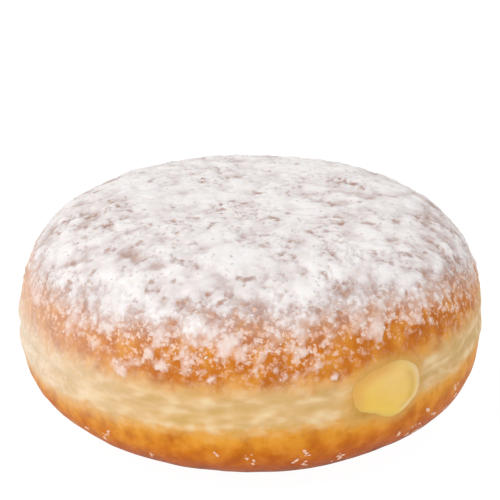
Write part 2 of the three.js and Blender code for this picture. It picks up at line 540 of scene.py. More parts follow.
@dataclass(frozen=True)
class Mouth:
    """The hole that the filling nozzle left, and where the custard shows."""

    azimuth: float = math.radians(-56.8)
    height: float = 20.9
    # Mean radius, and what makes the outline uneven: waves round it, their height, and their turn in degrees.
    radius: float = 5.6
    lobes: tuple[tuple[int, float, float], ...] = (
        (1, 0.5, 20.0),
        (2, 1.15, -14.0),
        (3, 0.4, 139.0),
        (4, 0.12, 5.0),
    )
    lip_height: float = 0.25
    lip_width: float = 2.2
    # The custard's fat has crept furthest into the dough at the lower left: by how much, in which direction,
    # and over what width.
    leak: float = 2.6
    leak_turn: float = math.radians(212.0)
    leak_spread: float = math.radians(24.0)

    def rim(self, angle: Array) -> Array:
        """Radius of the rim at an angle, seen from outside: 0 is to the right, a quarter turn is upwards."""
        lobes = sum(height * np.cos(waves * angle - math.radians(turn)) for waves, height, turn in self.lobes)
        return self.radius + lobes

    def beyond(self, points: Array, skin: Skin) -> Array:
        """Measures how far outside the rim points lie.

        Args:
            points: places on the smooth skin, one row a point.
            skin: that skin.

        Returns:
            One distance a point, under 0 within the mouth.
        """
        across = skin.radius * turn_between(np.arctan2(points[:, 1], points[:, 0]), self.azimuth)
        up = points[:, 2] - self.height
        return np.hypot(across, up) - self.rim(np.arctan2(up, across))

    def soaked(self, points: Array, skin: Skin) -> Array:
        """Measures how far points lie outside the rim, less what the fat has crept there.

        Args:
            points: places on the smooth skin, one row a point.
            skin: that skin.

        Returns:
            One distance a point.
        """
        across = skin.radius * turn_between(np.arctan2(points[:, 1], points[:, 0]), self.azimuth)
        turn = turn_between(np.arctan2(points[:, 2] - self.height, across), self.leak_turn)
        return self.beyond(points, skin) - self.leak * np.exp(-((turn / self.leak_spread) ** 2))

    def lip(self, points: Array, skin: Skin) -> Array:
        """Height of the low swelling of the dough round the mouth."""
        return self.lip_height * np.exp(-((self.beyond(points, skin) / self.lip_width) ** 2))


@dataclass
class Form:
    """Everything that says where the doughnut's surface lies."""

    skin: Skin = field(default_factory=Skin)
    belt: Belt = field(default_factory=Belt)
    coat: SugarCoat = field(default_factory=SugarCoat)
    mouth: Mouth = field(default_factory=Mouth)
    # Width and height of the crust's swells, blisters and pores.
    swell_size: float = 27.0
    swell_height: float = 0.3
    blister_size: float = 6.2
    blister_height: float = 0.14
    pore_size: float = 2.2
    pore_height: float = 0.06
    # The belt's dough is stretched into low wrinkles along it.
    wrinkle_size: float = 4.5
    wrinkle_stretch: float = 3.4
    wrinkle_height: float = 0.16
    # Heights over the foot between which the relief grows to its full height.
    foot_edge: Pair = (0.05, 2.5)
    # Distances outside the mouth between which the belt's crease grows, and those from which on and at which
    # there is no sugar, and how much of it that takes away.
    crease_clear: Pair = (0.5, 4.0)
    sugar_clear: Pair = (2.2, 0.8)
    sugar_loss: float = 3.0
    # Where the body's axis stands, so that the relief too is centred on the origin.
    axis_shift: tuple[float, float, float] = (-0.048, 0.073, 0.0)

    def relief(self, points: Array) -> Array:
        """Measures how far the bare dough stands out of the smooth skin.

        Args:
            points: places on that skin, one row a point.

        Returns:
            One height a point.
        """
        off_foot = smoothstep(points[:, 2], *self.foot_edge)
        dough = self.swell_height * noise(points, self.swell_size, Pattern.SWELLS)
        dough += self.blister_height * noise(points, self.blister_size, Pattern.BLISTERS)
        dough += self.pore_height * turned_noise(points, self.pore_size, Pattern.PORES)
        flat = points * np.array([1.0, 1.0, self.wrinkle_stretch])
        in_belt = self.belt.inside(points, self.skin)
        dough += self.wrinkle_height * in_belt * noise(flat, self.wrinkle_size, Pattern.WRINKLES)
        creased = smoothstep(self.mouth.beyond(points, self.skin), *self.crease_clear)
        dough += self.belt.relief(points, self.skin, creased) + self.mouth.lip(points, self.skin)
        return off_foot * dough

    def surface(self, down: Array, azimuth: Array, extra: Array | float = 0.0) -> tuple[Array, Array]:
        """Finds the surface of the dough, or of what lies on it.

        Args:
            down: distances down the skin from the top.
            azimuth: angles round the body, in radians.
            extra: how thick a layer lies on the dough there.

        Returns:
            Points, and outward directions.
        """
        points = self.skin.points(down, azimuth)
        normals = self.skin.normals(down, azimuth)
        out = self.relief(points) + extra
        return points + normals * out[:, None] + self.axis_shift, normals

    def sugar_depth(self, down: Array, azimuth: Array) -> Array:
        """Says how deep the sugar lies; there is none over the mouth.

        Args:
            down: distances down the skin from the top.
            azimuth: angles round the body, in radians.

        Returns:
            Under 0 where there is none, and 1 where it just hides the crust.
        """
        points = self.skin.points(down, azimuth)
        at_mouth = smoothstep(self.mouth.beyond(points, self.skin), *self.sugar_clear)
        return self.coat.depth(points, down) - self.sugar_loss * at_mouth

    def side(self, azimuth: Array, height: Array) -> Array:
        """Measures how far the finished side lies from the body's axis.

        Args:
            azimuth: angles round the body, in radians.
            height: heights over the foot.

        Returns:
            One radius a place.
        """
        down = self.skin.down_at(height)
        points = self.skin.points(down, azimuth)
        return np.hypot(points[:, 0], points[:, 1]) + self.relief(points)


# --------------------------------------------------------------------------------------------------
# Work on meshes


def nothing_selected() -> None:
    """Leaves object mode with nothing selected."""
    if bpy.context.object and bpy.context.object.mode != "OBJECT":
        bpy.ops.object.mode_set(mode="OBJECT")
    bpy.ops.object.select_all(action="DESELECT")


def only_selected(piece: Piece) -> None:
    """Selects one piece and makes it active.

    Args:
        piece: the piece.
    """
    nothing_selected()
    piece.select_set(True)
    bpy.context.view_layer.objects.active = piece


def vertices_of(piece: Piece) -> Array:
    """Reads a piece's vertices.

    Args:
        piece: the piece.

    Returns:
        One row a vertex, in the units of its mesh.
    """
    flat = np.empty(len(piece.data.vertices) * 3)
    piece.data.vertices.foreach_get("co", flat)
    return flat.reshape(-1, 3)


def set_vertices(piece: Piece, points: Array) -> None:
    """Moves a piece's vertices to new places, in the units of its mesh."""
    piece.data.vertices.foreach_set("co", points.astype(np.float32).ravel())
    piece.data.update()


def set_field(piece: Piece, name: str, values: Array) -> None:
    """Stores one number a vertex, for the piece's material to read."""
    attribute = piece.data.attributes.new(name, "FLOAT", "POINT")
    attribute.data.foreach_set("value", values.astype(np.float32))


def round_cube(name: str, cuts: tuple[int, ...]) -> Piece:
    """Models a ball of even squares from a cube.

    Args:
        name: what to call it.
        cuts: how many times each edge is cut, in each round of subdivision.

    Returns:
        The ball, of radius 1.
    """
    nothing_selected()
    bpy.ops.mesh.primitive_cube_add(size=2.0)
    ball = bpy.context.object
    ball.name = ball.data.name = name
    bpy.ops.object.mode_set(mode="EDIT")
    bpy.ops.mesh.select_all(action="SELECT")
    for number in cuts:
        bpy.ops.mesh.subdivide(number_cuts=number)
    bpy.ops.object.mode_set(mode="OBJECT")
    set_vertices(ball, unit(np.tan(vertices_of(ball) * math.pi / 4.0)))
    return ball


def finish_piece(piece: Piece, material: Material) -> None:
    """Dresses a piece, shades it smooth and ties it to the doughnut.

    Args:
        piece: the finished mesh.
        material: what it is dressed in.
    """
    only_selected(piece)
    bpy.ops.object.shade_smooth()
    piece.data.materials.clear()
    piece.data.materials.append(material)
    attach(piece, BODY)
    LOG.info("%s: %d faces", piece.name, len(piece.data.polygons))


# --------------------------------------------------------------------------------------------------
# Finishes


def linear(colour: str) -> tuple[float, float, float, float]:
    """Turns an sRGB hex colour into the linear one that shaders use.

    Args:
        colour: a hash sign and six hex digits.

    Returns:
        Red, green, blue, and an alpha of 1.
    """
    parts = [int(colour[i : i + 2], 16) / 255.0 for i in (1, 3, 5)]
    red, green, blue = [v / 12.92 if v <= 0.04045 else ((v + 0.055) / 1.055) ** 2.4 for v in parts]
    return red, green, blue, 1.0


def per_metre(size: float) -> float:
    """Turns the size of a pattern's marks in millimetres into its texture's scale."""
    return 1000.0 / size


def add_node(
    tree: Tree,
    kind: str,
    settings: dict[str | int, Any] | None = None,
    links: dict[str | int, Source] | None = None,
) -> bpy.types.Node:
    """Adds a node with its settings and links.

    Args:
        tree: the node tree.
        kind: the node's type, without the word ShaderNode.
        settings: values for its properties, or for its inputs by name or number. "stops" is a ramp's colours.
        links: for an input by name or number, what feeds it.

    Returns:
        The node.
    """
    node = tree.nodes.new("ShaderNode" + kind)
    for key, value in (settings or {}).items():
        if key == "stops":
            elements = node.color_ramp.elements
            while len(elements) < len(value):
                elements.new(0.5)
            for element, (place, colour) in zip(elements, value):
                element.position, element.color = place, linear(colour)
        elif isinstance(key, str) and hasattr(node, key):
            setattr(node, key, value)
        else:
            node.inputs[key].default_value = value
    for key, source in (links or {}).items():
        socket = source if isinstance(source, Socket) else source.outputs[0]
        tree.links.new(socket, node.inputs[key])
    return node


def new_material(name: str) -> tuple[Material, Tree]:
    """Makes a material with no nodes yet.

    Args:
        name: what it is.

    Returns:
        The material, and its node tree.
    """
    material = bpy.data.materials.new(name)
    material.use_nodes = True
    material.node_tree.nodes.clear()
    return material, material.node_tree


# Inputs and outputs of a Mix node that mixes colours.
MIX_LOW, MIX_HIGH, MIX_OUT = 6, 7, 2

# A tint: how much of it shows, a second share that is multiplied with the first, and its colour.
Tint = tuple[Source, Source, str]

# Fried dough is greasy enough to shine a little, and light goes a millimetre into it. The thin sugar on it
# takes up both.
DOUGH_SHEEN = {
    "Specular IOR Level": 0.1,
    "Subsurface Weight": 0.08,
    "Subsurface Scale": 1.0 * METRES,
    "Subsurface Radius": (1.0, 0.5, 0.25),
}


def sugar_specks(tree: Tree, place: Socket) -> Source:
    """Scatters ragged specks of sugar up to 1 mm across, each with its own strength.

    Args:
        tree: the material's tree.
        place: object coordinates.

    Returns:
        The specks, from 0 between them to 1 in the middle of a strong one.
    """
    frayed = add_node(tree, "TexNoise", {"Scale": per_metre(0.9), "Detail": 2.0}, {"Vector": place})
    moved = add_node(
        tree,
        "VectorMath",
        {"operation": "MULTIPLY_ADD", 1: (2.0 * METRES,) * 3},
        {0: frayed.outputs["Color"], 2: place},
    )
    cells = add_node(tree, "TexVoronoi", {"Scale": per_metre(1.0)}, {"Vector": moved}).outputs
    spot = add_node(tree, "MapRange", {"From Min": 0.62, "From Max": 0.3}, {"Value": cells["Distance"]})
    strength = add_node(tree, "MapRange", {"From Min": 0.2, "From Max": 0.7}, {"Value": cells["Color"]})
    return add_node(tree, "Math", {"operation": "MULTIPLY"}, {0: spot, 1: strength})


@dataclass(frozen=True)
class Mottle:
    """Uneven colour: one noise that brings out a tint where it is high, and another where it is low."""

    # Size of the marks, how many times as wide as high they are, and how finely they are broken up.
    size: float
    squash: float
    detail: float
    # For each tint, the noise at which it starts and is full, and how strong it is then.
    high: tuple[float, float, float]
    low: tuple[float, float, float]

    def marks(self, tree: Tree, place: Socket) -> list[Source]:
        """Builds the marks.

        Args:
            tree: the material's tree.
            place: object coordinates.

        Returns:
            How strong the tint of the high noise is, and how strong that of the low noise.
        """
        squashed = add_node(tree, "Mapping", {"Scale": (1.0, 1.0, self.squash)}, {"Vector": place})
        settings = {"Scale": per_metre(self.size), "Detail": self.detail}
        pattern = add_node(tree, "TexNoise", settings, {"Vector": squashed}).outputs["Fac"]
        return [
            add_node(
                tree,
                "MapRange",
                {"From Min": start, "From Max": full, "To Max": most},
                {"Value": pattern},
            )
            for start, full, most in (self.high, self.low)
        ]


@dataclass(frozen=True)
class FriedDough:
    """Yeast dough fried in oil: brown crust with a slight grease, pale where it never met the oil."""

    name: str = "fried_yeast_dough"
    # Colour up the side, by height over the belt's lower edge, and the heights that the ramp spans. It is
    # darkest at the foot, partly from browning and partly as painted shade where the doughnut meets the
    # floor.
    tones: tuple[tuple[float, str], ...] = (
        (-12.0, "#7C3402"),
        (-8.5, "#B65806"),
        (-5.0, "#D0760C"),
        (-2.2, "#E0962B"),
        (-0.4, "#E2A858"),
        (1.0, "#E0B983"),
        (6.2, "#E0B883"),
        (8.2, "#DDA563"),
        (10.0, "#CB7722"),
    )
    lowest: float = -20.0
    highest: float = 20.0
    # Browning strays up and down from these heights: in patches, and along a ragged edge.
    patch_size: float = 4.0
    patch_stray: float = 2.2
    ragged_size: float = 1.1
    ragged_stray: float = 1.3
    # Heights over the belt's lower edge at which its own marks start and are full, and start to fade and are
    # gone, and those at which the golden blotches start and are full.
    belt_rising: Pair = (-2.0, 0.8)
    belt_falling: Pair = (6.0, 8.5)
    golden_rising: Pair = (-10.0, -4.0)
    # Blotches where the hot oil ran off, and the streaks of the belt's stretched dough.
    blotches: Mottle = Mottle(3.2, 0.8, 3.0, (0.48, 0.75, 0.65), (0.5, 0.28, 0.7))
    streaks: Mottle = Mottle(4.4, 2.2, 1.4, (0.48, 0.7, 0.75), (0.5, 0.3, 0.85))
    blotch: str = "#A84E05"
    golden: str = "#E8A03C"
    # streak also paints the shade along the belt's crease.
    streak: str = "#C9A35A"
    cream: str = "#EDD3A4"
    # powder is the colour of the painted light on the left side.
    powder: str = "#F2E3D6"
    # The custard's fat stains the dough, and steeps it close to the mouth: from how far outside, where in
    # full, and how strongly.
    stain: str = "#D6A254"
    stain_reach: tuple[float, float, float] = (2.8, 0.6, 1.0)
    oily: str = "#BE8C34"
    oily_reach: tuple[float, float, float] = (0.6, -1.2, 0.8)
    # The crust under a full coat is dusted over grey and rosy, a grey that partly paints shade in the coat's
    # pits and cracks, and sugar that has drawn fat is peach.
    dusted: str = "#BCA29A"
    melted: str = "#F4CBB2"
    # Fine pores and blisters of the fried skin, and how deep they look.
    pore_size: float = 0.9
    pore_depth: float = 0.12

    def within(self, tree: Tree, value: Socket, rising: Pair, falling: Pair) -> Source:
        """Marks where a value lies between two soft edges.

        Args:
            tree: the material's tree.
            value: the value to test.
            rising: where the mark starts and is full.
            falling: where it starts to fade and is gone.

        Returns:
            The mark, from 0 to 1.
        """
        up = add_node(tree, "MapRange", {"From Min": rising[0], "From Max": rising[1]}, {"Value": value})
        down = add_node(tree, "MapRange", {"From Min": falling[1], "From Max": falling[0]}, {"Value": value})
        return add_node(tree, "Math", {"operation": "MULTIPLY"}, {0: up, 1: down})

    def tinted(self, tree: Tree, under: Socket, tint: Tint) -> Socket:
        """Tints a colour.

        Args:
            tree: the material's tree.
            under: the colour so far.
            tint: what is laid over it.

        Returns:
            The new colour.
        """
        share, where, colour = tint
        both = add_node(tree, "Math", {"operation": "MULTIPLY"}, {0: share, 1: where})
        over = {"data_type": "RGBA", MIX_HIGH: linear(colour)}
        return add_node(tree, "Mix", over, {0: both, MIX_LOW: under}).outputs[MIX_OUT]

    def browning(self, tree: Tree, place: Socket, rise: Socket, ragged: Socket) -> Socket:
        """Browns the side unevenly by its height; the darkest brown at the foot is partly painted shade.

        Args:
            tree: the material's tree.
            place: object coordinates.
            rise: height over the belt's lower edge.
            ragged: the noise that frays the edges.

        Returns:
            The colour.
        """
        settings = {"Scale": per_metre(self.patch_size), "Detail": 2.0}
        patches = add_node(tree, "TexNoise", settings, {"Vector": place}).outputs["Fac"]
        wide, fine = [
            add_node(tree, "Math", {"operation": "MULTIPLY_ADD", 1: 2.0 * stray, 2: -stray}, {0: pattern})
            for stray, pattern in ((self.patch_stray, patches), (self.ragged_stray, ragged))
        ]
        warped = add_node(tree, "Math", {}, {0: wide, 1: fine})
        height = add_node(tree, "Math", {}, {0: warped, 1: rise})
        ends = {"From Min": self.lowest, "From Max": self.highest}
        along = add_node(tree, "MapRange", ends, {"Value": height})
        span = self.highest - self.lowest
        stops = [((level - self.lowest) / span, tone) for level, tone in self.tones]
        return add_node(tree, "ValToRGB", {"stops": stops}, {"Fac": along}).outputs["Color"]

    def colour(self, tree: Tree, place: Socket) -> Socket:
        """Colours crust, belt, dust, and painted light and shade, by the fields that CrustFields stores.

        Args:
            tree: the material's tree.
            place: object coordinates.

        Returns:
            The colour.
        """
        rise, crease, mouth, film, dust, flecks = [
            add_node(tree, "Attribute", {"attribute_name": name}).outputs["Fac"]
            for name in ("rise", "crease", "mouth", "film", "dust", "flecks")
        ]
        settings = {"Scale": per_metre(self.ragged_size), "Detail": 2.0}
        ragged = add_node(tree, "TexNoise", settings, {"Vector": place}).outputs["Fac"]
        in_belt = self.within(tree, rise, self.belt_rising, self.belt_falling)
        off_belt = add_node(tree, "Math", {"operation": "SUBTRACT", 0: 1.0}, {1: in_belt})
        brown, gold = self.blotches.marks(tree, place)
        start, full = self.golden_rising
        over_foot = add_node(tree, "MapRange", {"From Min": start, "From Max": full}, {"Value": rise})
        golden = add_node(tree, "Math", {"operation": "MULTIPLY"}, {0: gold, 1: over_foot})
        dark, pale = self.streaks.marks(tree, place)
        # Painted light: the left side, towards the lamp, is painted paler, and more so in the specks.
        specks = sugar_specks(tree, place)
        speckled = add_node(tree, "MapRange", {"To Min": 0.62, "To Max": 1.1}, {"Value": specks})
        soaked, steeped = [
            add_node(
                tree,
                "MapRange",
                {"From Min": outer, "From Max": inner, "To Max": most},
                {"Value": mouth},
            )
            for outer, inner, most in (self.stain_reach, self.oily_reach)
        ]
        uneven, patchy = [
            add_node(tree, "MapRange", ends, {"Value": ragged})
            for ends in (
                {"From Min": 0.3, "From Max": 0.6, "To Min": 0.55},
                {"From Min": 0.35, "From Max": 0.62, "To Min": 0.66, "To Max": 1.1},
            )
        ]
        colour = self.browning(tree, place, rise, ragged)
        for tint in (
            (brown, off_belt, self.blotch),
            (golden, off_belt, self.golden),
            (dark, in_belt, self.streak),
            (pale, in_belt, self.cream),
            # Painted shade along the belt's crease.
            (crease, in_belt, self.streak),
            (film, speckled, self.powder),
            (soaked, uneven, self.stain),
            (steeped, uneven, self.oily),
            # Grey dust, which partly paints the shade in the coat's pits and cracks.
            (dust, patchy, self.dusted),
            (flecks, specks, self.melted),
        ):
            colour = self.tinted(tree, colour, tint)
        return colour

    def material(self) -> Material:
        """Builds the material of the bare dough.

        Returns:
            The material.
        """
        material, tree = new_material(self.name)
        place = add_node(tree, "TexCoord").outputs["Object"]
        colour = self.colour(tree, place)
        settings = {"Scale": per_metre(self.pore_size), "Detail": 3.0, "Roughness": 0.6}
        pores = add_node(tree, "TexNoise", settings, {"Vector": place}).outputs["Fac"]
        # Greasy between the pores, and duller in them.
        ends = {"From Min": 0.3, "From Max": 0.7, "To Min": 0.42, "To Max": 0.62}
        rough = add_node(tree, "MapRange", ends, {"Value": pores})
        relief = {"Strength": 0.5, "Distance": self.pore_depth * METRES}
        bump = add_node(tree, "Bump", relief, {"Height": pores})
        links = {"Base Color": colour, "Roughness": rough, "Normal": bump}
        shader = add_node(tree, "BsdfPrincipled", DOUGH_SHEEN, links)
        add_node(tree, "OutputMaterial", {}, {"Surface": shader})
        return material


@dataclass(frozen=True)
class IcingSugar:
    """Icing sugar sifted on warm crust: dead-matt white where deep, and the crust glows through the rest."""

    crust: FriedDough = FriedDough()
    name: str = "sifted_icing_sugar"
    # Thin sugar is rosy along the coat's edge, where fat has soaked into it, and grey on top, which partly
    # paints the shade between the sugar's patches.
    rosy: str = "#ECCFC1"
    grey_thin_and_shade: str = "#DDD1CF"
    thick: str = "#FAF5F3"
    # The powder's own grain is far finer, and is drawn this wide so that it shows.
    grain_size: float = 0.5
    grain_depth: float = 0.12
    # Cracks on top, and the clusters that they lie in.
    crack_size: float = 2.1
    cluster_size: float = 5.5

    def pile(self, tree: Tree, place: Socket, depth: Socket, dust: Socket) -> Source:
        """Adds grain, specks and cracks to the depth of the sugar.

        Args:
            tree: the material's tree.
            place: object coordinates.
            depth: the coat's depth.
            dust: how far in from the coat's edge it lies.

        Returns:
            The depth with all of these.
        """
        settings = {"Scale": per_metre(self.grain_size), "Detail": 2.0, "Roughness": 0.6}
        grain = add_node(tree, "TexNoise", settings, {"Vector": place}).outputs["Fac"]
        uneven = add_node(tree, "Math", {"operation": "MULTIPLY_ADD", 1: 0.18, 2: -0.11}, {0: grain})
        powdered = add_node(tree, "Math", {}, {0: uneven, 1: depth})
        # Specks of caked sugar, which count for more where the coat is thin.
        flecks = add_node(tree, "Attribute", {"attribute_name": "flecks"}).outputs["Fac"]
        weight = add_node(tree, "Math", {"operation": "MULTIPLY_ADD", 1: 0.36, 2: 0.06}, {0: flecks})
        lifted = add_node(
            tree,
            "Math",
            {"operation": "MULTIPLY_ADD"},
            {0: sugar_specks(tree, place), 1: weight, 2: powdered},
        )
        # Dark smudges on top, partly painted shade, where the coat has cracked open down to the dusted crust.
        cracks, clusters = [
            add_node(tree, "TexNoise", {"Scale": per_metre(size), "Detail": detail}, {"Vector": place})
            for size, detail in ((self.crack_size, 2.0), (self.cluster_size, 1.0))
        ]
        hole, clustered = [
            add_node(tree, "MapRange", ends, {"Value": pattern.outputs["Fac"]})
            for ends, pattern in (
                ({"From Min": 0.55, "From Max": 0.68}, cracks),
                ({"From Min": 0.46, "From Max": 0.6, "To Max": 0.8}, clusters),
            )
        ]
        torn = add_node(tree, "Math", {"operation": "MULTIPLY"}, {0: hole, 1: clustered})
        cracked = add_node(tree, "Math", {"operation": "MULTIPLY"}, {0: torn, 1: dust})
        return add_node(tree, "Math", {"operation": "SUBTRACT"}, {0: lifted, 1: cracked})

    def material(self) -> Material:
        """Builds the material, which reads the field depth from its piece besides the crust's own.

        Returns:
            The material.
        """
        material, tree = new_material(self.name)
        place = add_node(tree, "TexCoord").outputs["Object"]
        depth, dust = [
            add_node(tree, "Attribute", {"attribute_name": name}).outputs["Fac"] for name in ("depth", "dust")
        ]
        ground = self.crust.colour(tree, place)
        pile = self.pile(tree, place, depth, dust)
        # Sugar is at its whitest where the full coat lies under it.
        backed = add_node(tree, "Math", {"operation": "MULTIPLY_ADD", 1: 0.35}, {0: dust, 2: pile})
        ends = {"interpolation_type": "SMOOTHSTEP", "From Min": 0.6, "From Max": 1.85}
        whiteness = add_node(tree, "MapRange", ends, {"Value": backed})
        ends = {"data_type": "RGBA", MIX_LOW: linear(self.rosy), MIX_HIGH: linear(self.grey_thin_and_shade)}
        scant = add_node(tree, "Mix", ends, {0: dust})
        white = add_node(
            tree,
            "Mix",
            {"data_type": "RGBA", MIX_HIGH: linear(self.thick)},
            {0: whiteness, MIX_LOW: scant.outputs[MIX_OUT]},
        )
        cover = add_node(tree, "MapRange", {"From Min": 0.0, "From Max": 0.72}, {"Value": pile})
        layers = {0: cover, MIX_LOW: ground, MIX_HIGH: white.outputs[MIX_OUT]}
        colour = add_node(tree, "Mix", {"data_type": "RGBA"}, layers)
        # Sugar is duller than the greasy crust.
        rough = add_node(tree, "MapRange", {"To Min": 0.52, "To Max": 0.95}, {"Value": cover})
        relief = {"Strength": 0.35, "Distance": self.grain_depth * METRES}
        bump = add_node(tree, "Bump", relief, {"Height": pile})
        links = {"Base Color": colour.outputs[MIX_OUT], "Roughness": rough, "Normal": bump}
        shader = add_node(tree, "BsdfPrincipled", DOUGH_SHEEN, links)
        add_node(tree, "OutputMaterial", {}, {"Surface": shader})
        return material


@dataclass(frozen=True)
class CakedSugar:
    """Icing sugar caked to lumps: matt white on top, rosy and half clear at the foot, where fat soaked in."""

    name: str = "caked_icing_sugar"
    soaked: str = "#F3BE9E"
    dusted: str = "#D9CAC6"
    dry: str = "#F3ECEA"
    # The powder's own grain is far finer, and is drawn this wide so that it shows.
    grain_size: float = 0.5
    grain_depth: float = 0.06

    def material(self) -> Material:
        """Builds the material, which reads the fields dry and dust from its piece.

        Returns:
            The material.
        """
        material, tree = new_material(self.name)
        place = add_node(tree, "TexCoord").outputs["Object"]
        dry, dust = [
            add_node(tree, "Attribute", {"attribute_name": name}).outputs["Fac"] for name in ("dry", "dust")
        ]
        ends = {"data_type": "RGBA", MIX_LOW: linear(self.soaked), MIX_HIGH: linear(self.dusted)}
        foot = add_node(tree, "Mix", ends, {0: dust}).outputs[MIX_OUT]
        settings = {"Scale": per_metre(self.grain_size), "Detail": 2.0}
        powder = add_node(tree, "TexNoise", settings, {"Vector": place}).outputs["Fac"]
        uneven = add_node(tree, "Math", {"operation": "MULTIPLY_ADD", 1: 0.5, 2: -0.25}, {0: powder})
        share = add_node(tree, "Math", {"use_clamp": True}, {0: uneven, 1: dry})
        top = {"data_type": "RGBA", MIX_HIGH: linear(self.dry)}
        colour = add_node(tree, "Mix", top, {0: share, MIX_LOW: foot})
        relief = {"Strength": 0.4, "Distance": self.grain_depth * METRES}
        bump = add_node(tree, "Bump", relief, {"Height": powder})
        shader = add_node(
            tree,
            "BsdfPrincipled",
            {
                "Roughness": 0.95,
                "Specular IOR Level": 0.25,
                "Subsurface Weight": 0.1,
                "Subsurface Scale": 0.6 * METRES,
            },
            {"Base Color": colour.outputs[MIX_OUT], "Normal": bump},
        )
        add_node(tree, "OutputMaterial", {}, {"Surface": shader})
        return material


@dataclass(frozen=True)
class Custard:
    """Cooked pastry cream: smooth, dense and yellow, with a soft wet shine."""

    name: str = "pastry_cream"
    deep: str = "#EDC356"
    # light serves both the lighter custard of the swirls and the painted light on the face.
    light: str = "#F0C878"
    # olive paints shade in the groove and darkens the edge of the face; fold paints light along the fold.
    olive: str = "#D2A954"
    fold: str = "#F0CA92"
    browned: str = "#E0A455"
    # Richer and lighter custard is stirred together in swirls, and small curds make it a little lumpy.
    swirl_size: float = 5.0
    curd_size: float = 1.6
    curd_depth: float = 0.1

    def material(self) -> Material:
        """Builds the material, which reads the fields light, fold, groove and browned from its piece.

        Returns:
            The material.
        """
        material, tree = new_material(self.name)
        place = add_node(tree, "TexCoord").outputs["Object"]
        lit, groove, fold, browned = [
            add_node(tree, "Attribute", {"attribute_name": name}).outputs["Fac"]
            for name in ("light", "groove", "fold", "browned")
        ]
        swirls, curds = [
            add_node(tree, "TexNoise", {"Scale": per_metre(size), "Detail": detail}, {"Vector": place})
            for size, detail in ((self.swirl_size, 1.0), (self.curd_size, 2.0))
        ]
        swing = {"operation": "MULTIPLY_ADD", 1: 1.2, 2: -0.6}
        stirred = add_node(tree, "Math", swing, {0: swirls.outputs["Fac"]})
        # The field light adds painted light: lighter towards the face's upper right, darker towards its lower
        # left.
        share = add_node(tree, "Math", {"use_clamp": True}, {0: stirred, 1: lit})
        ends = {"data_type": "RGBA", MIX_LOW: linear(self.deep), MIX_HIGH: linear(self.light)}
        colour = add_node(tree, "Mix", ends, {0: share})
        # Painted shade in the groove and an olive edge, painted light along the fold, and the browned edge.
        for mark, tint in ((groove, self.olive), (fold, self.fold), (browned, self.browned)):
            under = {0: mark, MIX_LOW: colour.outputs[MIX_OUT]}
            colour = add_node(tree, "Mix", {"data_type": "RGBA", MIX_HIGH: linear(tint)}, under)
        relief = {"Strength": 0.2, "Distance": self.curd_depth * METRES}
        bump = add_node(tree, "Bump", relief, {"Height": curds.outputs["Fac"]})
        shader = add_node(
            tree,
            "BsdfPrincipled",
            {
                "Roughness": 0.5,
                "Specular IOR Level": 0.25,
                "Subsurface Weight": 0.25,
                "Subsurface Scale": 2.0 * METRES,
                "Subsurface Radius": (1.0, 0.7, 0.25),
            },
            {"Base Color": colour.outputs[MIX_OUT], "Normal": bump},
        )
        add_node(tree, "OutputMaterial", {}, {"Surface": shader})
        return material


# --------------------------------------------------------------------------------------------------
# Pieces


